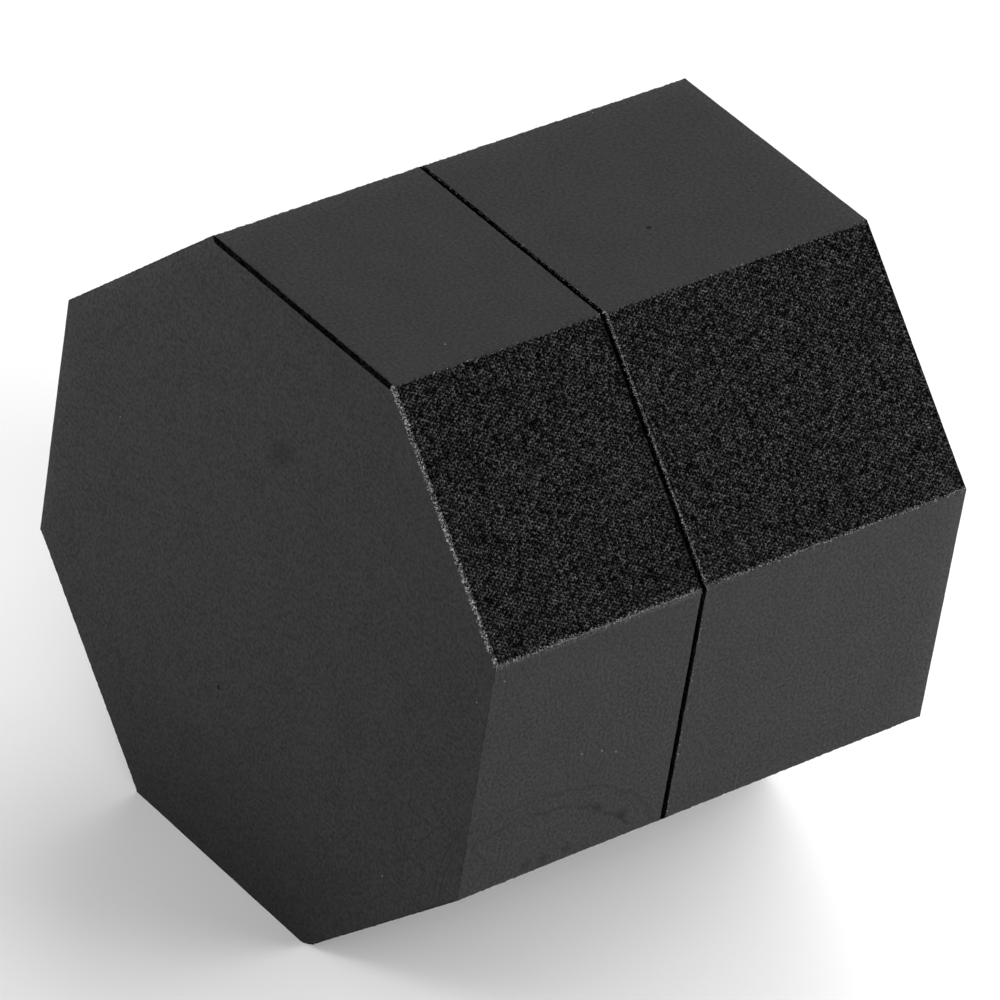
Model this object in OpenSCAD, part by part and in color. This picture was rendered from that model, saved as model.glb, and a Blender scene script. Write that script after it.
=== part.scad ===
// Octagonal block of rigid floral foam, cut across its length into two loose slabs.
// It rests on one flat of the octagon. X runs across the flats, Y along the block from its
// front end to its rear end, and Z is up. The origin is at the middle of the underside.

/* [Block] */
// Width of the block, across two opposite flats
across_flats = 110; // [60:1:200]

/* [Slabs] */
// Thickness of the front slab, along the block
front_slab_t = 41.5; // [20:0.5:100]
// Thickness of the rear slab, along the block
rear_slab_t = 54.5; // [20:0.5:100]
// Gap of the seam between the two slabs
seam_gap = 0.6; // [0.3:0.1:3]

/* [Edges] */
// Leg of the crumbled bevel along the front slab's top front edge
front_bevel = 0.6; // [0.2:0.1:3]

/* [Hidden] */

sides = 8;
half_turn = 180 / sides;
corner_radius = across_flats / 2 / cos(half_turn);
flat_w = 2 * corner_radius * sin(half_turn);

block_length = front_slab_t + seam_gap + rear_slab_t;
front_end_y = -block_length / 2;
seam_rear_y = front_end_y + front_slab_t + seam_gap;

foam_colour = [0.22, 0.22, 0.225];

// A slab of the regular octagon that lies on one flat, from start_y towards the rear.
module octagon_slab(start_y, thickness) {
    translate([0, start_y, across_flats / 2])
        rotate([-90, half_turn, 0])
            linear_extrude(thickness)
                circle(r = corner_radius, $fn = sides);
}

// A square bar along X, set on edge, whose corners stand the given leg off its axis.
module bevel_bar(leg, length, y, z) {
    side = leg * sqrt(2);
    translate([0, y, z])
        rotate([45, 0, 0])
            cube([length, side, side], center = true);
}

// Front slab: the thinner one, with a crumbled bevel along its top front edge.
module front_slab() {
    color(foam_colour)
        difference() {
            octagon_slab(front_end_y, front_slab_t);
            bevel_bar(front_bevel, flat_w + 2 * front_bevel, front_end_y, across_flats);
        }
}

// Rear slab: the thicker one, plain at both ends.
module rear_slab() {
    color(foam_colour)
        octagon_slab(seam_rear_y, rear_slab_t);
}

front_slab();
rear_slab();
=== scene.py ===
"""An octagonal block of charcoal flower foam in two loose slabs, standing on a pale table.

Each slab is one closed mesh. Its four corner cuts are open foam, modelled cell by cell, its face
at the seam is sawn, with the cells in its finish, and its other faces are rubbed smooth. Torn cell
walls, crumbs and strut tips lie on it as small solids.
"""

from collections import namedtuple
import math

import bmesh
import bpy
import numpy as np
from mathutils import Matrix, Vector, noise


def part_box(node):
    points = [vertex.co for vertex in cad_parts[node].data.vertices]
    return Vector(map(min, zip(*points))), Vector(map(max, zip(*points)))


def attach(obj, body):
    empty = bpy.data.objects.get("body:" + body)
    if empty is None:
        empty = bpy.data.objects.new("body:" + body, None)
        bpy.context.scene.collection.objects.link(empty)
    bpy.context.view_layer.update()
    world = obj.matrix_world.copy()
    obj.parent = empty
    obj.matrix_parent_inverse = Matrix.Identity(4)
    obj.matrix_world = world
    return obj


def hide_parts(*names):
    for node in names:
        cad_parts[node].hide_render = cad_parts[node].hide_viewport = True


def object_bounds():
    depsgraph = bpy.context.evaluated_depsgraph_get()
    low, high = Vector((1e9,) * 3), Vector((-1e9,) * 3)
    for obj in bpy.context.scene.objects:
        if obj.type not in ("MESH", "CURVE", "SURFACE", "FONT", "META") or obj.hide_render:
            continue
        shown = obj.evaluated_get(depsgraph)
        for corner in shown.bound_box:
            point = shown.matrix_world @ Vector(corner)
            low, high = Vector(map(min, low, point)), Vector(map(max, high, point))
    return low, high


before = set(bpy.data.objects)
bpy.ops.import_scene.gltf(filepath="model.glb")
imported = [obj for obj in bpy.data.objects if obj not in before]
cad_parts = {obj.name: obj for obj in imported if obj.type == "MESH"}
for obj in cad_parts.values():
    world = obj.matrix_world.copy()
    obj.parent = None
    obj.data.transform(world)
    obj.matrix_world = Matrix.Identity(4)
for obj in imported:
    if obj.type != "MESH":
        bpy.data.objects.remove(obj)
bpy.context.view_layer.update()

# ---------------------------------------------------------------- sizes, from the frame
MM = 0.001
LOW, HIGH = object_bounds()
CENTRE = (LOW + HIGH) / 2
WIDTH = HIGH.x - LOW.x
APOTHEM = WIDTH / 2
FLAT = WIDTH * (math.sqrt(2) - 1)  # one side of the octagon
SIDES = 8
PERIMETER = SIDES * FLAT

RUBBED, OPEN, SAWN_OPEN = range(3)  # the finishes of a slab's faces

# The sides in order round the octagon, from the underside: every second one is a corner cut.
BOTTOM, LOWER_RIGHT, RIGHT, UPPER_RIGHT, TOP, UPPER_LEFT, LEFT, LOWER_LEFT = range(SIDES)

# ---------------------------------------------------------------- sizes of the foam itself
FINE_STEP = 0.36 * MM  # from strut to strut on the upper corner cuts
COARSE_STEP = 0.44 * MM  # and on the lower ones
CELL_DEPTH = 0.42 * MM
DEPTH_SPREAD = 0.7, 1.3  # the least and greatest depth of a cell's floor, as shares of that
STRUT_DROP = 0.6  # how far the faintest strut would lie below the face, as a share of that too
# A crest also sets how light a strut is painted: a painted highlight on the struts, with painted shade
# at the cell floors
STRUT_CREST = 0.12, 1.0  # the faintest and the brightest strut on a corner cut
CORNER_CREST = 0.1, 0.7  # and on the corners between the sides
EDGE_CREST = 0.1, 1.0  # and on an end's edge, as shares of that edge's own crest
END_STRUT = 0.6  # how bright the struts at the two ends of a row are beside the others
JITTER = 0.31  # how far a point strays along its face, as a share of a step

FULL_RELIEF = 0.9  # a point rougher than this is part of an open cell
ROW_END_RELIEF = 0.35  # how rough a row's two ends on a corner cut are, from 0 to 1
CORNER_RELIEF = 0.3  # and the corners between the sides
WORN_RELIEF = 0.4  # and the worn edges round the ends
CRISP_RELIEF = 0.06  # and the edges that have stayed whole
SAWN_RELIEF = 0.12  # and the sawn faces at the seam
BORDER_RELIEF = 0.4  # the share of its roughness that an edge keeps along its two borders
RELIEF_DEPTH = 0.45 * MM  # how far a point outside the cells may sink, at full roughness

SAWN_FADE = 3.5 * MM  # how far inside their edge the sawn faces' struts reach full brightness: nearer the edge they are painted darker, painted shade in the seam between the slabs
SAWN_SWELL = 0.26 * MM  # how far the sawn faces stand towards each other inside their edge
SWELL_START, SWELL_WIDTH = 1.2 * MM, 2 * MM  # where that rise begins, and how wide it is
EDGE_MARGIN = 0.3 * MM  # from the worn edges to where the honeycomb begins
CORNER_FADE = 0.25 * MM  # from a corner to where an end's edge has its own side's leg
LUMP_SIZE, LUMP_DEPTH = 9 * MM, 0.04 * MM  # the faces are slightly uneven: slow lumps
RIPPLE_SIZE, RIPPLE_DEPTH = 2.2 * MM, 0.015 * MM  # with finer ripples on them
MEAN_SINK = 0.01 * MM  # and how far below flat they are centred

# How closely the meshes are divided.
FIRST_STEP, STEP_GROWTH = 0.3 * MM, 1.6  # a rubbed side's rows, from its corners inwards
WHOLE_EDGE_STEP = 0.8 * MM  # along an end's edge that has stayed whole
FIRST_INSET, FIRST_WIDTH = 0.9 * MM, 0.5 * MM  # an end's rings: the first one's inset and spacing
RING_GROWTH, RING_STEP = 1.45, 0.87  # how spacing grows, and the share of it from ring to ring
SHARP_ANGLE = math.radians(25)

NET_GAP = 1 * MM  # between the parts of a slab's unfolded net
NET_SIZE = 230 * MM  # the net's square sheet, and its margin as a share of it
NET_MARGIN = 0.01

# How an end's edge is finished along a side: how far it runs back along the side, how far it
# drops down the end, the brightness of its highest struts, and whether its cells are torn open.
Edge = namedtuple("Edge", "run drop crest torn")
CRISP = Edge(0.08 * MM, 0.08 * MM, 0.5, False)
WORN = Edge(0.20 * MM, 0.20 * MM, 0.8, True)
# the bevel and the seam edges below have dim struts: painted shade in the bevel's groove and in the
# seam between the slabs
BEVELLED = Edge(0.36 * MM, 0.84 * MM, 0.25, True)
SAWN_BROAD = Edge(0.28 * MM, 0.28 * MM, 0.25, True)
SAWN_WIDE = Edge(0.22 * MM, 0.22 * MM, 0.25, True)
SAWN = Edge(0.15 * MM, 0.15 * MM, 0.25, True)
SAWN_FINE = Edge(0.05 * MM, 0.05 * MM, 0.25, True)
TIGHT_CUT = Edge(0.10 * MM, 0.10 * MM, 0.6, True)

# ---------------------------------------------------------------- marks on the rubbed faces
SPECKS_ON_FACES = [  # single bright crumbs: on the top, on the right side and on the front end
    (CENTRE.x - 5.7 * MM, CENTRE.y - 16 * MM, HIGH.z),
    (CENTRE.x - 21.9 * MM, CENTRE.y + 28 * MM, HIGH.z),
    (CENTRE.x + 17.9 * MM, CENTRE.y - 34 * MM, HIGH.z),
    (HIGH.x, CENTRE.y - 46 * MM, CENTRE.z + 19.4 * MM),
    (HIGH.x, CENTRE.y - 26.8 * MM, CENTRE.z - 2 * MM),
    (HIGH.x, CENTRE.y - 22.6 * MM, CENTRE.z - 2.9 * MM),
    (HIGH.x, CENTRE.y - 19.5 * MM, CENTRE.z - 4.3 * MM),
    (CENTRE.x + 52.2 * MM, LOW.y, CENTRE.z + 14.3 * MM),
    (CENTRE.x + 37.6 * MM, LOW.y, CENTRE.z - 30 * MM),
    (CENTRE.x - 38.7 * MM, LOW.y, CENTRE.z + 10.2 * MM),
]
PITS = [  # small holes, painted dark, partly the black foam inside and partly painted shade: one in the front end, one in the rear slab's top
    (CENTRE.x - 6.5 * MM, LOW.y, CENTRE.z - 22.5 * MM),
    (CENTRE.x + 8 * MM, CENTRE.y + 15 * MM, HIGH.z),
]
DENT = (CENTRE.x + 0.3 * MM, LOW.y, CENTRE.z + 27.7 * MM)  # a thumb-tip dent in the front end
SLANT = math.sqrt(0.5)  # either part of a direction at 45 degrees
DENT_AXES = [  # it's an oval on a slant: its directions, and how far it reaches along each
    ((SLANT, 0, SLANT), 4.6 * MM),
    ((SLANT, 0, -SLANT), 2.7 * MM),
    ((0, 1, 0), 4 * MM),
]
DENT_DEPTH = 0.06 * MM
RIM_HIGHLIGHT = 0.38  # painted highlight: how much paler the rubbed faces are painted along the outer edges below, a glow at the outline, and how far that reaches
RIM_HIGHLIGHT_REACH = 1.6 * MM
RIM_HIGHLIGHT_SIDES = {LEFT: 1.0, UPPER_LEFT: 1.0, LOWER_LEFT: 0.35}  # with the rear end's edge
FACES_ALONG = 0.8  # a point whose normal has more than this of a side's is on that side
BLUNT = 0.6 * MM  # how deep the foot of the front end is pressed in, and how far back
BLUNT_LENGTH = 10 * MM
FOOT_SHADE_CENTRE = (CENTRE.x + 9 * MM, LOW.y, LOW.z - 20 * MM)  # the front end is painted darker toward its foot: painted shade, where less light reaches it
FOOT_SHADE_REACH = (120 * MM, 25 * MM, 60 * MM)
RUB = (HIGH.x, CENTRE.y - 36 * MM, CENTRE.z - 26 * MM)  # centre of the rub marks on the right
RUB_REACH = (10 * MM, 46 * MM, 30 * MM)
SCUFFS = [  # small dark scuffs under the rub marks
    (HIGH.x, CENTRE.y - 26.6 * MM, CENTRE.z - 20.8 * MM),
    (HIGH.x, CENTRE.y - 31.3 * MM, CENTRE.z - 21.1 * MM),
    (HIGH.x, CENTRE.y - 34.9 * MM, CENTRE.z - 20.9 * MM),
    (HIGH.x, CENTRE.y - 21.3 * MM, CENTRE.z - 14.9 * MM),
    (HIGH.x, CENTRE.y - 15.6 * MM, CENTRE.z - 18 * MM),
]
CRAZED = (HIGH.x - 9 * MM, LOW.y, CENTRE.z - 16 * MM)  # where the front end is finely cracked


# ================================================================ the octagon's outline
def side_axes(side):
    """The outward normal and the direction of travel of one side, as (x, z) pairs."""
    angle = math.radians(-90 + side * 360 / SIDES)
    return (math.cos(angle), math.sin(angle)), (-math.sin(angle), math.cos(angle))


def outline_point(travel, inset, y):
    """The point that is so far round the octagon, in from its side and along the block."""
    side = int(travel // FLAT) % SIDES
    along = (travel % FLAT - FLAT / 2) * (1 - inset / APOTHEM)
    normal, tangent = side_axes(side)
    out = APOTHEM - inset
    return (
        CENTRE.x + out * normal[0] + along * tangent[0],
        y,
        CENTRE.z + out * normal[1] + along * tangent[1],
    )


def is_open(side):
    return side % 2 == 1


# ================================================================ building a slab's skin
class Row:
    """A row of points: their numbers, their places along the row, and on the unfolded net."""

    def __init__(self, points, at, net):
        self.points, self.at, self.net = points, at, net

    def closed(self):
        """The same row as a ring, ending on its first point again."""
        return Row(
            [*self.points, self.points[0]], [*self.at, self.at[0] + PERIMETER], [*self.net, self.net[0]]
        )


class Skin:
    """The points and triangles of one slab, gathered row by row."""

    def __init__(self, seed):
        self.random = np.random.default_rng(seed)
        self.places, self.normals, self.crests, self.relief = [], [], [], []
        self.faces, self.net, self.finishes = [], [], []

    def point(self, place, normal, crest, relief):
        """Adds a point. crest is 1 on a strut and 0 at a cell's floor, relief how rough it is."""
        self.places.append(place)
        self.normals.append(tuple(normal))
        self.crests.append(crest)
        self.relief.append(relief)
        return len(self.places) - 1

    def join(self, near, far, finish_at):
        """Joins two rows by triangles, taking whichever row's next point comes first.

        finish_at gives the finish at a place along the rows.
        """
        i = j = 0
        last_i, last_j = len(near.points) - 1, len(far.points) - 1
        while i < last_i or j < last_j:
            if i < last_i and (j == last_j or near.at[i + 1] <= far.at[j + 1]):
                self.faces.append((near.points[i], near.points[i + 1], far.points[j]))
                self.net.append((near.net[i], near.net[i + 1], far.net[j]))
                self.finishes.append(finish_at(near.at[i]))
                i += 1
            else:
                self.faces.append((near.points[i], far.points[j + 1], far.points[j]))
                self.net.append((near.net[i], far.net[j + 1], far.net[j]))
                self.finishes.append(finish_at(far.at[j]))
                j += 1


def all_rubbed(place):
    return RUBBED


def all_open(place):
    return OPEN


def all_sawn(place):
    return SAWN_OPEN


def side_at(travel):
    return int(travel // FLAT) % SIDES


class End:
    """One end of a slab: where it is, which way it faces, and how its edges are finished.

    widest is the greatest spacing of the points on its face.
    """

    def __init__(self, y, outward, on_cuts, on_rubbed, special, widest, sawn=False):
        self.y, self.outward, self.widest, self.sawn = y, outward, widest, sawn
        self.edges = [on_cuts if is_open(side) else on_rubbed for side in range(SIDES)]
        for side, edge in special.items():
            self.edges[side] = edge

    def legs_at(self, travel):
        """The edge's run and drop: each side's own, fading to its neighbour's at a corner."""
        side, past = side_at(travel), travel % FLAT
        own = self.edges[side]
        beside = self.edges[(side + (1 if past > FLAT / 2 else -1)) % SIDES]
        share = min(1.0, min(past, FLAT - past) / CORNER_FADE)
        return [
            min(mine, other) + max(0.0, mine - other) * share
            for mine, other in ((own.run, beside.run), (own.drop, beside.drop))
        ]

    def face_at(self, inset):
        """Where the end's face is, so far in from its outline: a sawn one swells a little."""
        risen = min(1.0, max(0.0, (inset - SWELL_START) / SWELL_WIDTH)) if self.sawn else 0.0
        return self.y + self.outward * SAWN_SWELL * risen

    def edge_finish(self, travel):
        return OPEN if self.edges[side_at(travel)].torn else RUBBED

    def margin_finish(self, travel):
        return OPEN if is_open(side_at(travel)) else RUBBED


def step_of(side):
    """From strut to strut on an open side, and at a rubbed side's borders."""
    return COARSE_STEP if side in (LOWER_LEFT, LOWER_RIGHT) else FINE_STEP


def even(start, end, step):
    """Places from start to end at close to the given step."""
    count = max(2, round((end - start) / step))
    return [start + j * (end - start) / count for j in range(count + 1)]


def graded(length, first, growth, most):
    """Places from 0 to length, close together at both ends and wider in the middle."""
    steps, reached, step = [0.0], 0.0, first
    while reached + step < length / 2:
        reached += step
        steps.append(reached)
        step = min(step * growth, most)
    mirrored = [length - place for place in reversed(steps)]
    if mirrored[0] - steps[-1] < first / 2:
        steps.pop()
    return steps + mirrored


def side_net(side, travel, at):
    """Where a row on a side lies on the net: the sides unfold into two strips of four."""
    strip = side // (SIDES // 2)
    along = travel - strip * PERIMETER / 2
    bottom = WIDTH + NET_GAP + strip * (at[-1] - at[0] + NET_GAP)
    return [(along, bottom + y - at[0]) for y in at]


def open_row(skin, side, row, travel, start, end):
    """One row of the honeycomb on a corner cut: struts, with a cell's floor at every third."""
    count = round((end - start) / step_of(side))
    step = (end - start) / count
    if row % 2:
        at = [start, *(start + (j + 0.5) * step for j in range(count)), end]
    else:
        at = [start + j * step for j in range(count + 1)]
    normal = side_axes(side)[0]
    points = []
    for j, y in enumerate(at):
        column = j - 1 - row // 2 if row % 2 else j - row // 2
        inside = start + step / 4 < y < end - step / 4
        floor = inside and (column - row + side) % 3 == 0
        strut = skin.random.uniform(*STRUT_CREST) * (1.0 if inside else END_STRUT)
        crest, relief = 0.0 if floor else strut, 1.0 if inside else ROW_END_RELIEF
        points.append(skin.point(outline_point(travel, 0, y), (normal[0], 0, normal[1]), crest, relief))
    return Row(points, at, side_net(side, travel, at))


def corner_row(skin, side, start, end):
    """The row of points on the corner where a side begins."""
    before, after = side_axes((side - 1) % SIDES)[0], side_axes(side)[0]
    normal = Vector((before[0] + after[0], 0, before[1] + after[1])).normalized()
    travel = side * FLAT
    at = even(start, end, min(step_of(side), step_of((side - 1) % SIDES)))
    points = [
        skin.point(
            outline_point(travel, 0, y), normal, skin.random.uniform(*CORNER_CREST), CORNER_RELIEF
        )
        for y in at
    ]
    return Row(points, at, side_net(side, travel, at))


def rubbed_row(skin, side, travel, spacing, start, end):
    """A row on a rubbed side, whose points are closer together the nearer it is to a corner."""
    at = [start, *even(start + EDGE_MARGIN, end - EDGE_MARGIN, spacing), end]
    normal = side_axes(side)[0]
    points = [
        skin.point(outline_point(travel, 0, y), (normal[0], 0, normal[1]), 1.0, 0.0) for y in at
    ]
    return Row(points, at, side_net(side, travel, at))


def join_sides(skin, near_end, far_end, widest):
    """Lays and joins all the rows round the slab's eight sides.

    Returns the points at the start and at the end of each row, and each row's travel.
    """
    rows, travels = [], []
    for side in range(SIDES):
        start = near_end.y + near_end.edges[side].run + EDGE_MARGIN
        end = far_end.y - far_end.edges[side].run - EDGE_MARGIN
        first_of_side = len(rows)
        rows.append(corner_row(skin, side, start, end))
        travels.append(side * FLAT)
        if is_open(side):
            count = 2 * round(FLAT / (step_of(side) * math.sqrt(3) / 2) / 2)
            for row in range(1, count):
                travels.append(side * FLAT + FLAT * row / count)
                rows.append(open_row(skin, side, row, travels[-1], start, end))
        else:
            across = graded(FLAT, FIRST_STEP, STEP_GROWTH, widest)
            for before, here, after in zip(across, across[1:], across[2:]):
                travels.append(side * FLAT + here)
                spacing = max(step_of(side), (after - before) / 2)
                rows.append(rubbed_row(skin, side, travels[-1], spacing, start, end))
        if first_of_side:
            corner = rows[first_of_side]
            closing = Row(corner.points, corner.at, side_net(side - 1, side * FLAT, corner.at))
            skin.join(rows[first_of_side - 1], closing, all_rubbed)
        skin.join(rows[first_of_side], rows[first_of_side + 1], all_rubbed)
        for near, far in zip(rows[first_of_side + 1:], rows[first_of_side + 2:]):
            skin.join(near, far, all_open if is_open(side) else all_rubbed)
    corner = rows[0]
    closing = Row(corner.points, corner.at, side_net(SIDES - 1, PERIMETER, corner.at))
    skin.join(rows[-1], closing, all_rubbed)
    return [row.points[0] for row in rows], [row.points[-1] for row in rows], travels


def ring_places(spacing_of):
    """Places round the octagon, each side divided evenly at its own spacing."""
    places = []
    for side in range(SIDES):
        count = max(2, round(FLAT / spacing_of(side)))
        places += [side * FLAT + FLAT * i / count for i in range(count)]
    return places


def end_net(skin, points, outward):
    """Where the points of an end lie on the net: the two ends lie side by side."""
    left = 0 if outward < 0 else WIDTH + NET_GAP
    return [
        (left + skin.places[point][0] - LOW.x, skin.places[point][2] - LOW.z) for point in points
    ]


def end_ring(skin, places, end, share):
    """A ring round an end: share is 0 where its worn edge begins and 1 where the face does."""
    points = []
    for travel in places:
        edge, (run, drop) = end.edges[side_at(travel)], end.legs_at(travel)
        normal, _ = side_axes(side_at(travel))
        direction = Vector((normal[0], end.outward, normal[1])).normalized()
        crest = skin.random.uniform(*EDGE_CREST) * edge.crest
        relief = min(FULL_RELIEF, run / WORN.run * WORN_RELIEF) if edge.torn else CRISP_RELIEF
        if share in (0, 1):
            relief *= BORDER_RELIEF
        place = outline_point(travel, drop * share, end.y - end.outward * run * (1 - share))
        points.append(skin.point(place, direction, crest, relief))
    return Row(points, places, end_net(skin, points, end.outward)).closed()


def close_end(skin, ring, end):
    """Closes one end: its edge, then the face inside it, rubbed smooth or sawn."""
    places = ring_places(lambda side: FINE_STEP if end.edges[side].torn else WHOLE_EDGE_STEP)
    finish_at = end.margin_finish
    for share in (0, 1 / 3, 2 / 3, 1):
        new = end_ring(skin, places, end, share)
        skin.join(ring, new, finish_at)
        ring, finish_at = new, end.edge_finish

    finish_at = all_sawn if end.sawn else all_rubbed
    relief = SAWN_RELIEF if end.sawn else 0.0
    inset, width = FIRST_INSET, FIRST_WIDTH
    while inset < APOTHEM - width / 2:
        places = ring_places(lambda side: width / (1 - inset / APOTHEM))
        # on a sawn face the struts are painted darker near its edge: painted shade in the seam
        crest = min(1.0, SAWN.crest + inset / SAWN_FADE)
        y = end.face_at(inset)
        points = [
            skin.point(outline_point(travel, inset, y), (0, end.outward, 0), crest, relief)
            for travel in places
        ]
        new = Row(points, places, end_net(skin, points, end.outward)).closed()
        skin.join(ring, new, finish_at)
        ring = new
        width = min(width * RING_GROWTH, end.widest)
        inset += width * RING_STEP
    middle = skin.point((CENTRE.x, end.face_at(APOTHEM), CENTRE.z), (0, end.outward, 0), 1.0, 0.0)
    middle_net = end_net(skin, [middle], end.outward)[0]
    for i in range(len(ring.points) - 1):
        skin.faces.append((ring.points[i], ring.points[i + 1], middle))
        skin.net.append((ring.net[i], ring.net[i + 1], middle_net))
        skin.finishes.append(finish_at(ring.at[i]))


# ================================================================ relief
def smooth_noise(places, size, shift=0.0):
    """Soft noise from -1 to 1 at each place, whose lumps are of the given size."""
    offset = Vector((shift, shift * 1.7, -shift))
    return np.array([noise.noise(Vector(place) / size + offset) for place in places])


def blunted(places):
    """The places with the front end's foot pressed blunt, where two of its edges meet."""
    (down, _), (right, _) = side_axes(BOTTOM), side_axes(LOWER_RIGHT)
    towards = Vector((down[0] + right[0], 0, down[1] + right[1])).normalized()
    corner_out = APOTHEM / math.cos(math.pi / SIDES)
    fade = np.clip(1 - (places[:, 1] - LOW.y) / BLUNT_LENGTH, 0, 1)
    out = (places - np.array(CENTRE)) @ np.array(towards)
    past = np.maximum(0, out - corner_out + BLUNT * fade)
    return places - past[:, None] * np.array(towards)


def shape_skin(skin, seed):
    """Moves the points off their flat faces: cells, crumbled edges and slow unevenness."""
    random = skin.random
    places = np.array(skin.places)
    normals = np.array([tuple(n) for n in skin.normals])
    crest, rough = np.array(skin.crests), np.array(skin.relief)
    open_cell = rough > FULL_RELIEF

    height = np.zeros(len(places))
    lumps = smooth_noise(places, LUMP_SIZE, seed) * LUMP_DEPTH
    ripples = smooth_noise(places, RIPPLE_SIZE, seed + 5) * RIPPLE_DEPTH
    height += np.minimum(0, lumps + ripples - MEAN_SINK)
    offset = places - np.array(DENT)
    from_dent = sum((offset @ np.array(way) / reach) ** 2 for way, reach in DENT_AXES)
    height -= DENT_DEPTH * np.clip(1 - from_dent, 0, 1) ** 2

    lows = random.uniform(*DEPTH_SPREAD, len(places))
    cell = np.where(crest == 0, -lows * CELL_DEPTH, -(1 - crest) * STRUT_DROP * CELL_DEPTH)
    height += np.where(open_cell, cell, 0)
    height -= np.where(open_cell, 0, rough * random.uniform(0.0, RELIEF_DEPTH, len(places)))

    jitter = random.uniform(-1, 1, (len(places), 3)) * JITTER * FINE_STEP
    jitter -= (jitter * normals).sum(1, keepdims=True) * normals
    jitter *= np.where(open_cell, 1.0, np.where(rough > 0, 0.5, 0.0))[:, None]
    return blunted(places + normals * height[:, None] + jitter)


def plane_of(side):
    """The outward direction of a side and how far along it the side's flat lies."""
    (across, up), _ = side_axes(side)
    out = np.array((across, 0.0, up))
    return out, np.array(CENTRE) @ out + APOTHEM


def painted_rim_highlight(places, normals):
    """How much painted highlight each point has, from 0 to 1: the rubbed faces are painted palest along
    some outer edges, a glow at the outline.
    """
    planes = [(*plane_of(side), share) for side, share in RIM_HIGHLIGHT_SIDES.items()]
    planes.append((np.array((0.0, 1.0, 0.0)), HIGH.y, 1.0))
    pale = np.zeros(len(places))
    for out, at, share in planes:
        beside = normals @ out < FACES_ALONG
        inside = np.maximum(0, at - places @ out)
        pale = np.maximum(pale, beside * share * np.exp(-inside / RIM_HIGHLIGHT_REACH))
    return pale


def slab_mesh(name, seed, near_end, far_end, widest):
    """The closed mesh of one slab between its two ends, with each finish's faces marked."""
    skin = Skin(seed)
    starts, ends, travels = join_sides(skin, near_end, far_end, widest)
    for edge, end in ((starts, near_end), (ends, far_end)):
        close_end(skin, Row(edge, travels, end_net(skin, edge, end.outward)).closed(), end)

    mesh = bpy.data.meshes.new(name)
    mesh.from_pydata(shape_skin(skin, seed).tolist(), [], skin.faces)
    pale = painted_rim_highlight(np.array(skin.places), np.array(skin.normals))
    for mark, values in (("crest", skin.crests), ("pale", pale)):
        marked = mesh.attributes.new(mark, "FLOAT", "POINT")
        marked.data.foreach_set("value", np.array(values, np.float32))
    net = np.array(skin.net, np.float32).reshape(-1, 2)
    mesh.uv_layers.new(name="OFBake").data.foreach_set("uv", (net / NET_SIZE + NET_MARGIN).ravel())
    finishes = np.array(skin.finishes, np.int32)
    mesh.polygons.foreach_set("material_index", finishes)
    mesh.polygons.foreach_set("use_smooth", finishes != OPEN)
    mesh.set_sharp_from_angle(angle=SHARP_ANGLE)
    return mesh


def face_outwards(mesh):
    shape = bmesh.new()
    shape.from_mesh(mesh)
    bmesh.ops.recalc_face_normals(shape, faces=shape.faces)
    shape.to_mesh(mesh)
    shape.free()


# ================================================================ crumbs and torn cell walls
CRUMB_POINTS = np.array([(1, 0, 0), (0, 1, 0), (0, 0, 1), (-1, 0, 0), (0, -1, 0), (0, 0, -1)], float)
LOPSIDED = 0.55, 1.15  # how far a crumb's points stand out, as shares of its size
CRUMB_FACES = np.array(
    [(0, 1, 2), (1, 3, 2), (3, 4, 2), (4, 0, 2), (1, 0, 5), (3, 1, 5), (4, 3, 5), (0, 4, 5)]
)
WALL_FACES = np.array([(0, 2, 1), (0, 1, 3), (1, 2, 3), (2, 0, 3)])
FACES_ACROSS_CELL = 4  # a solid's faces lie in its own cell of the net, four to a row
FACE_ON_NET = np.array([(0.1, 0.1), (0.9, 0.1), (0.1, 0.9)])  # a face's corners in its square


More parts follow.
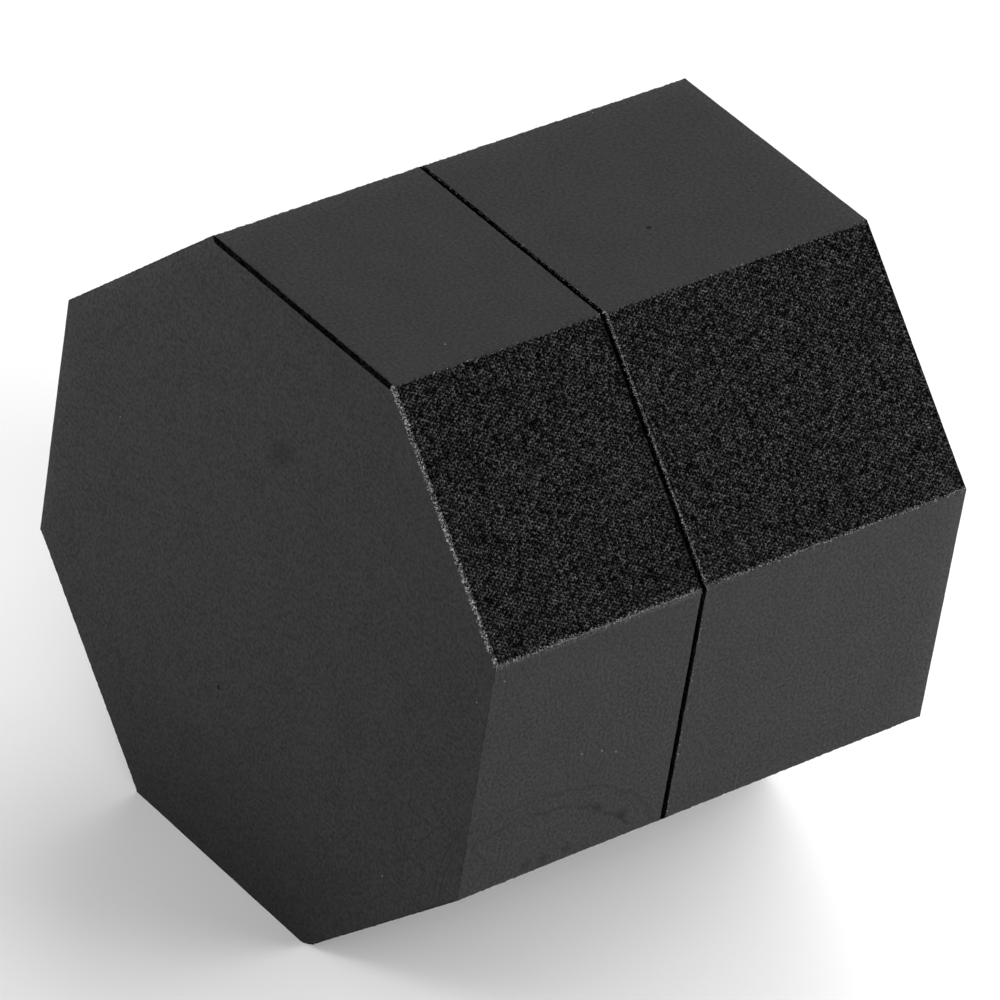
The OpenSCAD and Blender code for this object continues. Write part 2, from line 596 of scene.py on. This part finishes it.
class Grit:
    """Small closed solids on one slab, gathered into one mesh."""

    def __init__(self, seed):
        self.random = np.random.default_rng(seed)
        self.points, self.faces, self.dust, self.net = [], [], [], []
        self.solids = self.count = 0

    def gather(self, points, faces, dust):
        """Adds solids: points by solid, the faces they all share, and how much dust and painted
        highlight each has.
        """
        solids, corners = points.shape[:2]
        firsts = self.count + np.arange(solids) * corners
        self.points.append(points.reshape(-1, 3))
        self.faces.append((faces[None] + firsts[:, None, None]).reshape(-1, 3))
        self.dust.append(np.repeat(dust, corners))
        face = np.arange(len(faces))
        in_cell = np.stack([face % FACES_ACROSS_CELL, face // FACES_ACROSS_CELL], 1)
        number = self.solids + np.arange(solids)
        self.net.append((np.repeat(number, len(faces)), np.tile(in_cell, (solids, 1))))
        self.count += solids * corners
        self.solids += solids

    def crumbs(self, centres, sizes, dust):
        """Jagged grains, each a lopsided octahedron."""
        count = len(centres)
        turns = self.random.normal(size=(count, 3, 3))
        turns = np.linalg.qr(turns)[0]
        turns[np.linalg.det(turns) < 0] *= -1
        shape = CRUMB_POINTS[None] * self.random.uniform(*LOPSIDED, (count, len(CRUMB_POINTS), 1))
        points = np.einsum("nij,nkj->nki", turns, shape * sizes[:, None, None])
        self.gather(points + centres[:, None], CRUMB_FACES, dust)

    def walls(self, roots, tips, widths, dust):
        """Torn cell walls, each a three-sided sliver from a broad root to a point."""
        along = tips - roots
        along /= np.linalg.norm(along, axis=1, keepdims=True)
        across = np.cross(along, self.random.normal(size=along.shape))
        across /= np.linalg.norm(across, axis=1, keepdims=True)
        other = np.cross(along, across)
        corners = [
            roots + widths[:, None] * (math.cos(turn) * across + math.sin(turn) * other)
            for turn in (0, math.tau / 3, 2 * math.tau / 3)
        ]
        self.gather(np.stack([*corners, tips], 1), WALL_FACES, dust)

    def mesh(self, name):
        mesh = bpy.data.meshes.new(name)
        mesh.from_pydata(np.concatenate(self.points).tolist(), [], np.concatenate(self.faces).tolist())
        dust = mesh.attributes.new("dust", "FLOAT", "POINT")
        dust.data.foreach_set("value", np.concatenate(self.dust).astype(np.float32))
        number = np.concatenate([numbers for numbers, _ in self.net])
        in_cell = np.concatenate([cells for _, cells in self.net])
        across = math.ceil(math.sqrt(self.solids))
        low = np.stack([number % across, number // across], 1) + in_cell / FACES_ACROSS_CELL
        net = (low[:, None] + FACE_ON_NET[None] / FACES_ACROSS_CELL) / across
        mesh.uv_layers.new(name="OFBake").data.foreach_set("uv", net.astype(np.float32).ravel())
        return mesh


def spread_on_end_edge(random, side, end_y, outward, leg, count, width, shift):
    """Random places over the worn edge where a side meets an end, shifted on to the side."""
    share = 0.5 - random.normal(shift, width / 2, count) / leg
    travel = random.uniform(side * FLAT, (side + 1) * FLAT, count)
    inset = leg * np.clip(share, 0, None)
    inward = leg * np.clip(1 - share, 0, None)
    return np.array(
        [outline_point(t, i, end_y - outward * n) for t, i, n in zip(travel, inset, inward)]
    )


def spread_on_corner(random, corner, start, end, count, width, shift):
    """Random places along the corner between two sides, shifted so far along the travel."""
    travel = (corner * FLAT + random.normal(shift, width / 2, count)) % PERIMETER
    y = random.uniform(start, end, count)
    return np.array([outline_point(t, 0, at) for t, at in zip(travel, y)])


# What lies along an edge: crumbs to a millimetre, their least and greatest size, how widely
# they spread, and how far from the edge they are centred. At an end that is on to the side
# beside it, and at a corner between two sides on to the corner cut.
HEAVY_LIP = (16, 0.11 * MM, 0.27 * MM, 0.36 * MM, 0.01 * MM)
SEAM_LIP = (12, 0.07 * MM, 0.15 * MM, 0.22 * MM, 0.11 * MM)
SEAM_GRAINS = (8, 0.05 * MM, 0.13 * MM, 0.16 * MM, -0.06 * MM)
SEAM_DUST = (3, 0.05 * MM, 0.10 * MM, 0.24 * MM, 0.42 * MM)
HEAVY_FRINGE = (11, 0.06 * MM, 0.16 * MM, 0.42 * MM, 0.28 * MM)
FINE_FRINGE = (14, 0.06 * MM, 0.14 * MM, 0.34 * MM, 0.26 * MM)
SPECKS = (1, 0.05 * MM, 0.13 * MM, 0.30 * MM, 0.10 * MM)
# the crumbs, tips and walls are painted lighter, partly for dust and partly as a painted highlight
# where their rough edges catch the light
CRUMB_DUST_AND_HIGHLIGHT = 0.15, 1.0  # the least and the most dust and painted highlight on a crumb

TIPS_PER_MM2 = 0.45  # strut tips that stand up on the corner cuts
TIP_SIZE = 0.07 * MM, 0.15 * MM
TIP_DUST_AND_HIGHLIGHT = 0.0, 0.5
TIP_INSET = 0.1 * MM  # how far below the face a tip's middle is
SPECK_SIZE, SPECK_DUST_AND_HIGHLIGHT = 0.20 * MM, 0.55  # the single crumbs on the rubbed faces
TUFT, TUFT_DUST_AND_HIGHLIGHT = 7, 0.95  # crumbs in a tuft painted bright at a corner of an upper cut, a painted highlight
TUFT_SIZE = 0.09 * MM, 0.15 * MM
TUFT_REACH = 0.18 * MM
TUFT_INSET, TUFT_BACK = 0.15 * MM, 0.1 * MM  # how deep it lies, and how far behind the end

WALL_LENGTH = 0.25 * MM, 1.1 * MM  # the torn walls of a fringe
WALL_WIDTH = 0.03 * MM, 0.085 * MM
WALL_DUST_AND_HIGHLIGHT = 0.1, 1.0  # as shares of the most dust and painted highlight on a wall
WALL_ROOT, ROOT_INSET = 0.15 * MM, 0.02 * MM  # how far on to the cut their roots are, and how deep
WALL_LIFT = 0.05 * MM  # how far their tips stand out
WALL_LEAN = 0.16 * MM  # and how far the tips lean to one side

# Each upper corner cut's edges: the corner with the fringe, which way round the octagon the
# fringe hangs, and the other corner.
FRINGES = ((UPPER_RIGHT, -1, TOP), (LEFT, 1, UPPER_LEFT))


def lay_crumbs(grit, places_of, length, kind):
    per_mm, least, most, width, shift = kind
    count = round(per_mm * length / MM)
    sizes = least + (most - least) * grit.random.random(count) ** 2
    dust = grit.random.uniform(*CRUMB_DUST_AND_HIGHLIGHT, count)
    grit.crumbs(places_of(count, width, shift), sizes, dust)


def scatter_tips(grit, side, start, end):
    """Strut tips that stand up here and there on a corner cut."""
    random = grit.random
    count = round(TIPS_PER_MM2 * (end - start) * FLAT / MM**2)
    travel = random.uniform(side * FLAT, (side + 1) * FLAT, count)
    y = random.uniform(start, end, count)
    places = np.array([outline_point(t, TIP_INSET, at) for t, at in zip(travel, y)])
    grit.crumbs(places, random.uniform(*TIP_SIZE, count), random.uniform(*TIP_DUST_AND_HIGHLIGHT, count))


def hang_walls(grit, corner, way, start, end, walls):
    """The fringe of torn walls that hangs from a cut's edge over the rubbed side beside it.

    walls is how many there are to a millimetre and the most dust and painted highlight on one.
    """
    random = grit.random
    per_mm, most_dust_and_highlight = walls
    count = round(per_mm * (end - start) / MM)
    y = random.uniform(start, end, count)
    lengths = random.uniform(*WALL_LENGTH, count)
    roots = np.array([outline_point(corner * FLAT - way * WALL_ROOT, ROOT_INSET, at) for at in y])
    tips = np.array([
        outline_point((corner * FLAT + way * far) % PERIMETER, -WALL_LIFT, at + lean)
        for far, at, lean in zip(lengths, y, random.normal(0, WALL_LEAN, count))
    ])
    dust = random.uniform(*WALL_DUST_AND_HIGHLIGHT, count) * most_dust_and_highlight
    grit.walls(roots, tips, random.uniform(*WALL_WIDTH, count), dust)


def lay_tuft(grit, corner, y):
    """A few bright crumbs on the point where a corner between two sides meets an end."""
    centre = outline_point(corner * FLAT, TUFT_INSET, y)
    places = centre + grit.random.uniform(-TUFT_REACH, TUFT_REACH, (TUFT, 3))
    grit.crumbs(places, grit.random.uniform(*TUFT_SIZE, TUFT), np.full(TUFT, TUFT_DUST_AND_HIGHLIGHT))


def make_grit(name, node, body, seed, lips, fringe, walls, finish):
    """The crumbs, strut tips and torn walls on one slab.

    lips gives what lies along some sides of the slab's front edge.
    """
    low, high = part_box(node)
    grit = Grit(seed)
    random = grit.random
    start, end = low.y + WORN.run, high.y - WORN.run

    def along_front(side, kind):
        def places(count, width, shift):
            return spread_on_end_edge(random, side, low.y, -1, WORN.run, count, width, shift)

        lay_crumbs(grit, places, FLAT, kind)

    def along_corner(corner, on_to_cut, kind):
        def places(count, width, shift):
            return spread_on_corner(random, corner, start, end, count, width, on_to_cut * shift)

        lay_crumbs(grit, places, end - start, kind)

    for side, kind in lips.items():
        along_front(side, kind)
    lay_tuft(grit, TOP, low.y + TUFT_BACK)
    for side in (LOWER_RIGHT, UPPER_RIGHT, UPPER_LEFT, LOWER_LEFT):
        scatter_tips(grit, side, start, end)
    for corner, way, plain in FRINGES:
        along_corner(corner, -way, fringe)
        along_corner(plain, way, SPECKS)
        hang_walls(grit, corner, way, start, end, walls)
    here = np.array([place for place in SPECKS_ON_FACES if low.y <= place[1] <= high.y])
    if len(here):
        grit.crumbs(here, np.full(len(here), SPECK_SIZE), np.full(len(here), SPECK_DUST_AND_HIGHLIGHT))
    mesh = grit.mesh(name)
    mesh.materials.append(finish)
    add_piece(name, mesh, body)


# ================================================================ materials
class Value:
    """What varies over a surface: one socket of a finish's nodes, with arithmetic."""

    def __init__(self, finish, socket):
        self.finish, self.socket = finish, socket

    def _maths(self, operation, first, second=0.0):
        return self.finish.add("ShaderNodeMath", {"operation": operation}, {0: first, 1: second})

    def __add__(self, other):
        return self._maths("ADD", self, other)

    def __radd__(self, other):
        return self._maths("ADD", other, self)

    def __sub__(self, other):
        return self._maths("SUBTRACT", self, other)

    def __rsub__(self, other):
        return self._maths("SUBTRACT", other, self)

    def __mul__(self, other):
        return self._maths("MULTIPLY", self, other)

    def __rmul__(self, other):
        return self._maths("MULTIPLY", other, self)

    def __pow__(self, other):
        return self._maths("POWER", self, other)


class Finish:
    """A material under construction."""

    def __init__(self, name):
        self.material = bpy.data.materials.new(name)
        self.material.use_nodes = True
        self.nodes = self.material.node_tree.nodes
        self.links = self.material.node_tree.links
        self.shader = self.nodes["Principled BSDF"]

    def add(self, kind, settings=None, inputs=None, output=0):
        """Adds a node, with its settings first, then its inputs, and returns one output."""
        node = self.nodes.new(kind)
        for name, value in (settings or {}).items():
            if name == "stops":
                ramp_stops(node.color_ramp, value)
            else:
                setattr(node, name, value)
        for name, value in (inputs or {}).items():
            self.feed(node.inputs[name], value)
        return Value(self, node.outputs[output])

    def feed(self, socket, value):
        if isinstance(value, Value):
            self.links.new(value.socket, socket)
        else:
            socket.default_value = value

    def place(self):
        """Where a point of the piece is, in metres, wherever the piece moves."""
        return self.add("ShaderNodeTexCoord", output="Object")

    def mark(self, name):
        """A number that the mesh holds at each point."""
        return self.add("ShaderNodeAttribute", {"attribute_name": name}, output="Fac")

    def speckle(self, size, detail=2.0, roughness=0.5):
        """Soft noise from 0 to 1 with grains of the given size."""
        return self.add(
            "ShaderNodeTexNoise",
            {"noise_dimensions": "3D"},
            {"Vector": self.place(), "Scale": 1 / size, "Detail": detail, "Roughness": roughness},
            output="Fac",
        )

    def ramp(self, value, *stops):
        """A number led through the given (place, grey) stops."""
        return self.add("ShaderNodeValToRGB", {"stops": stops}, {"Fac": value}, output="Color")

    def spot(self, centre, reach, hard=0.0):
        """1 at a centre, fading to 0 at the reach, which is one length or one for each axis.

        hard is the share of the reach over which it stays 1.
        """
        across = reach if isinstance(reach, tuple) else (reach,) * 3
        offset = self.vector("SUBTRACT", self.place(), centre)
        scaled = self.vector("DIVIDE", offset, across)
        away = self.vector("LENGTH", scaled, output="Value")
        return self.add(
            "ShaderNodeMapRange",
            {"interpolation_type": "SMOOTHSTEP"},
            {"Value": away, "From Min": hard, "From Max": 1.0, "To Min": 1.0, "To Max": 0.0},
        )

    def vector(self, operation, first, second=(0, 0, 0), output="Vector"):
        return self.add(
            "ShaderNodeVectorMath", {"operation": operation}, {0: first, 1: second}, output=output
        )

    def bump(self, height, distance, strength=1.0, under=None):
        inputs = {"Height": height, "Distance": distance, "Strength": strength}
        if under is not None:
            inputs["Normal"] = under
        return self.add("ShaderNodeBump", {}, inputs, output="Normal")

    def tinted(self, grey, tint):
        """A grey that varies, under one tint."""
        return self.add(
            "ShaderNodeVectorMath", {"operation": "SCALE"}, {0: tint, "Scale": grey}, output="Vector"
        )

    def finish(self, colour, roughness, normal, specular):
        self.feed(self.shader.inputs["Base Color"], colour)
        self.feed(self.shader.inputs["Roughness"], roughness)
        self.feed(self.shader.inputs["Normal"], normal)
        self.shader.inputs["Specular IOR Level"].default_value = specular
        return self.material


def ramp_stops(ramp, stops):
    for element, (place, grey) in zip(ramp.elements, stops):
        element.position, element.color = place, (grey, grey, grey, 1)
    for place, grey in stops[2:]:
        ramp.elements.new(place).color = (grey, grey, grey, 1)


NEUTRAL = (1.0, 1.0, 1.0)  # the foam and the table have no tint, only greys
SKIN_GREY = 0.0235  # how light the rubbed faces are, on average
GRAIN, MOTTLE = 0.55 * MM, 7 * MM  # the size of their tight grain, and of the broad patches in it
DENT_DARK, FOOT_SHADE, RUB_DARK, CRACK_DARK = 0.32, 0.53, 0.38, 0.20  # how much darker the marks are; the foot's darkening is painted shade, not a mark
PIT_SIZE, PIT_DARK = 0.6 * MM, 0.9
SCUFF_SIZE = 1.7 * MM
CRACK_CELL, CRAZED_REACH = 9 * MM, 17 * MM  # the cells that cracks run round, and their reach
CRACK_SHIFT = (1.3 * MM, 0.7 * MM, 2.1 * MM)  # which slides their pattern along the foam
HOLLOW_GREY, STRUT_GREY = 0.0003, 0.20  # the open cells, from the floor up to the brightest strut: painted shade in the hollows, partly the foam's own black, and a painted highlight on the struts
WALL_CELL = 0.34 * MM  # the finest cells, whose walls divide the struts
SAWN_CELL = 0.40 * MM  # the struts and hollows of a sawn face
TORN_GREY, DUST_AND_HIGHLIGHT_GREY = 0.03, 0.37  # a torn wall or a crumb, and what the most dust and painted highlight add to it


def rub_marks(foam):
    """Faint broken arcs, two round one centre, with scuffs among them."""
    offset = foam.vector("SUBTRACT", foam.place(), RUB)
    away = foam.vector("LENGTH", foam.vector("DIVIDE", offset, RUB_REACH), output="Value")
    away = away + 0.10 * foam.speckle(6 * MM, 2) - 0.05
    arcs = foam.ramp(away, (0.48, 0), (0.495, 1), (0.515, 0), (0.585, 0), (0.605, 0.8), (0.62, 0))
    broken = foam.ramp(foam.speckle(3.5 * MM, 3), (0.40, 0.1), (0.55, 1.0))
    scuffs = sum(foam.spot(place, SCUFF_SIZE) for place in SCUFFS)
    return arcs * broken + scuffs


def dent(foam):
    """How far inside the dent a point is, from 0 at its rim to 1 at its middle."""
    offset = foam.vector("SUBTRACT", foam.place(), DENT)
    parts = [
        foam.vector("DOT_PRODUCT", offset, way, output="Value") * (1 / reach)
        for way, reach in DENT_AXES
    ]
    return foam.ramp(sum(part * part for part in parts), (0.05, 1.0), (1.0, 0.0))


def cracks(foam):
    """Hair cracks round coarse cells, in one small part of the front end."""
    shifted = foam.vector("ADD", foam.place(), CRACK_SHIFT)
    edge = foam.add(
        "ShaderNodeTexVoronoi",
        {"feature": "DISTANCE_TO_EDGE"},
        {"Vector": shifted, "Scale": 1 / CRACK_CELL},
        output="Distance",
    )
    return foam.ramp(edge, (0.008, 1.0), (0.03, 0.0)) * foam.spot(CRAZED, CRAZED_REACH, 0.4)


def rubbed_foam():
    """Foam whose cells are crushed shut and dusted: matt, even, with a fine tight grain."""
    foam = Finish("rubbed_foam")
    grain = foam.speckle(GRAIN, 2)
    mottle = foam.speckle(MOTTLE, 3)
    # the spot at the front end's foot is painted shade, darker where less light reaches it
    dark = dent(foam) * DENT_DARK + foam.spot(FOOT_SHADE_CENTRE, FOOT_SHADE_REACH) * FOOT_SHADE
    dark = dark + rub_marks(foam) * RUB_DARK + cracks(foam) * CRACK_DARK
    # each hole is painted dark: partly the black foam inside, partly painted shade
    holes = sum(foam.spot(place, PIT_SIZE, 0.4) for place in PITS)
    # the rubbed faces are painted paler along the outline edges: a painted highlight, a glow at the
    # outline
    grey = SKIN_GREY * (2.1 * grain + 0.3 * mottle - 0.2) * (1 + RIM_HIGHLIGHT * foam.mark("pale"))
    grey = grey * (1 - dark) * (1 - PIT_DARK * holes)
    normal = foam.bump(grain - 3 * holes, 0.10 * MM, 0.5)
    return foam.finish(foam.tinted(grey, NEUTRAL), 0.80 + 0.1 * grain, normal, 0.15)


def cell_grey(foam, crest):
    """The grey of open cells: black hollows, partly the foam's own black and partly painted shade,
    between thin walls painted light as a painted highlight.
    """
    edge = foam.add(
        "ShaderNodeTexVoronoi",
        {"feature": "DISTANCE_TO_EDGE"},
        {"Vector": foam.place(), "Scale": 1 / WALL_CELL, "Randomness": 1.0},
        output="Distance",
    )
    walls = foam.ramp(edge, (0.02, 1.0), (0.20, 0.0))
    return HOLLOW_GREY + STRUT_GREY * crest**1.8 * (0.06 + 0.94 * walls)


def open_foam():
    """Open cells on a corner cut, whose struts and hollows are in the mesh."""
    foam = Finish("open_foam")
    grey = cell_grey(foam, foam.mark("crest"))
    normal = foam.bump(foam.speckle(0.33 * MM, 1), 0.08 * MM, 0.8)
    return foam.finish(foam.tinted(grey, NEUTRAL), 0.85, normal, 0.0)


def sawn_foam():
    """Cells opened by a saw at the seam, finer than the mesh there: struts and hollows in relief, the
    struts painted light as a painted highlight and the hollows near black, partly the foam's own black
    and partly painted shade.
    """
    foam = Finish("sawn_foam")
    struts = foam.ramp(foam.speckle(SAWN_CELL, 1), (0.46, 0.0), (0.66, 1.0))
    grey = cell_grey(foam, foam.mark("crest") * struts)
    normal = foam.bump(struts, 0.25 * MM, 0.8)
    return foam.finish(foam.tinted(grey, NEUTRAL), 0.85, normal, 0.0)


def torn_foam():
    """Torn cell walls and crumbs along the edges: dusty, with painted highlights where they catch the
    light, so lighter than the rest.
    """
    foam = Finish("torn_foam")
    dust = foam.mark("dust")
    grain = foam.speckle(0.3 * MM, 2)
    grey = TORN_GREY + DUST_AND_HIGHLIGHT_GREY * dust**1.5 * (0.3 + 1.4 * grain)
    normal = foam.bump(grain, 0.05 * MM, 0.5)
    return foam.finish(foam.tinted(grey, NEUTRAL), 0.85, normal, 0.1)


# ================================================================ the slabs
def add_piece(name, mesh, body):
    piece = bpy.data.objects.new(name, mesh)
    bpy.context.scene.collection.objects.link(piece)
    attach(piece, body)
    return piece


def make_slab(name, node, body, seed, near_end, far_end, widest, finishes):
    """One slab between its two ends. widest is the greatest spacing of the points on its sides."""
    mesh = slab_mesh(name, seed, near_end, far_end, widest)
    face_outwards(mesh)
    for finish in finishes:
        mesh.materials.append(finish)
    piece = add_piece(name, mesh, body)
    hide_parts(node)


# ================================================================ table, light and camera
TABLE_WIDTH = 12  # in metres
PAPER_GREY = 0.86
SURROUND = 0.285  # the strength of the pale surround
SOFTBOXES = [  # name, place, size and power: big ones far off, and two small lamps close by
    ("right_rear_softbox", (0.9, 0.9, 0.8), 0.9, 2.1),
    ("rear_softbox", (0.0, 1.3, 0.8), 0.9, 8.9),
    ("left_rear_softbox", (-0.9, 0.9, 0.8), 0.9, 12.4),
    ("front_right_softbox", (0.9, -0.9, 0.9), 0.9, 4.7),
    ("front_lamp", (-0.18, -0.30, 0.16), 0.15, 0.64),
    ("right_lamp", (0.35, 0.25, 0.20), 0.30, 1.92),
]
AZIMUTH, ELEVATION, TIP = math.radians(45.82), math.radians(35.35), math.radians(9.31)
CAMERA_DISTANCE = 12.035 * WIDTH
LENS, SENSOR = 296.65, 36  # in millimetres
AIM = Vector((0.48 * MM, 1.53 * MM, 0))  # what it aims at, to the right of the middle and above it


def make_floor():
    bpy.ops.mesh.primitive_plane_add(size=TABLE_WIDTH, location=(0, 0, LOW.z))
    floor = bpy.context.object
    floor.name = "table"
    paper = Finish("table_paper")
    grey = PAPER_GREY + 0.02 * paper.speckle(40 * MM, 2)
    paper.finish(paper.tinted(grey, NEUTRAL), 0.9, paper.bump(grey, 0.1 * MM, 0.1), 0.2)
    floor.data.materials.append(paper.material)


def softbox(name, place, size, power):
    """A square soft light at the given place, aimed at the block."""
    light = bpy.data.lights.new(name, "AREA")
    light.shape, light.size, light.energy = "SQUARE", size, power
    lamp = bpy.data.objects.new(name, light)
    bpy.context.scene.collection.objects.link(lamp)
    lamp.location = place
    lamp.rotation_euler = (CENTRE - Vector(place)).to_track_quat("-Z", "Y").to_euler()
    lamp.visible_camera = False


def make_lights():
    world = bpy.data.worlds.new("studio")
    bpy.context.scene.world = world
    world.use_nodes = True
    background = world.node_tree.nodes["Background"]
    background.inputs["Color"].default_value = (1, 1, 1, 1)
    background.inputs["Strength"].default_value = SURROUND
    for name, place, size, power in SOFTBOXES:
        softbox(name, place, size, power)


def make_camera():
    """A long lens far off, looking down on a corner of the block, tipped a little to one side."""
    back = Vector((
        math.sin(AZIMUTH) * math.cos(ELEVATION),
        -math.cos(AZIMUTH) * math.cos(ELEVATION),
        math.sin(ELEVATION),
    ))
    data = bpy.data.cameras.new("camera")
    data.lens, data.sensor_width = LENS, SENSOR
    camera = bpy.data.objects.new("camera", data)
    bpy.context.scene.collection.objects.link(camera)
    turn = (-back).to_track_quat("-Z", "Y").to_matrix() @ Matrix.Rotation(TIP, 3, "Z")
    aim = CENTRE + turn @ AIM
    camera.matrix_world = Matrix.Translation(aim + back * CAMERA_DISTANCE) @ turn.to_4x4()
    bpy.context.scene.camera = camera


make_camera()
make_floor()
make_lights()
bpy.context.scene.view_settings.view_transform = "Standard"

low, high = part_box("front_slab")
front_end = End(
    low.y, outward=-1, on_cuts=WORN, on_rubbed=CRISP, special={TOP: BEVELLED}, widest=1.1 * MM
)
seam_front = End(
    high.y, outward=1, on_cuts=SAWN_WIDE, on_rubbed=SAWN, special={TOP: SAWN_BROAD},
    widest=1.3 * MM, sawn=True,
)
low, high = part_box("rear_slab")
seam_rear = End(
    low.y, outward=-1, on_cuts=TIGHT_CUT, on_rubbed=SAWN_WIDE, special={TOP: SAWN_FINE},
    widest=1.3 * MM, sawn=True,
)
rear_end = End(
    high.y, outward=1, on_cuts=CRISP._replace(torn=True), on_rubbed=CRISP, special={},
    widest=2.2 * MM,
)

slab_finishes = (rubbed_foam(), open_foam(), sawn_foam())
make_slab(
    "front_slab_foam", "front_slab", body="front", seed=3,
    near_end=front_end, far_end=seam_front, widest=2.0 * MM, finishes=slab_finishes,
)
make_slab(
    "rear_slab_foam", "rear_slab", body="rear", seed=8,
    near_end=seam_rear, far_end=rear_end, widest=2.2 * MM, finishes=slab_finishes,
)

crumb_finish = torn_foam()
make_grit(
    "front_slab_crumbs", "front_slab", body="front", seed=21,
    lips={UPPER_RIGHT: HEAVY_LIP}, fringe=HEAVY_FRINGE, walls=(22, 0.7), finish=crumb_finish,
)
make_grit(
    "rear_slab_crumbs", "rear_slab", body="rear", seed=34,
    lips={UPPER_RIGHT: SEAM_LIP, TOP: SEAM_GRAINS, RIGHT: SEAM_DUST},
    fringe=FINE_FRINGE, walls=(8, 0.4), finish=crumb_finish,
)
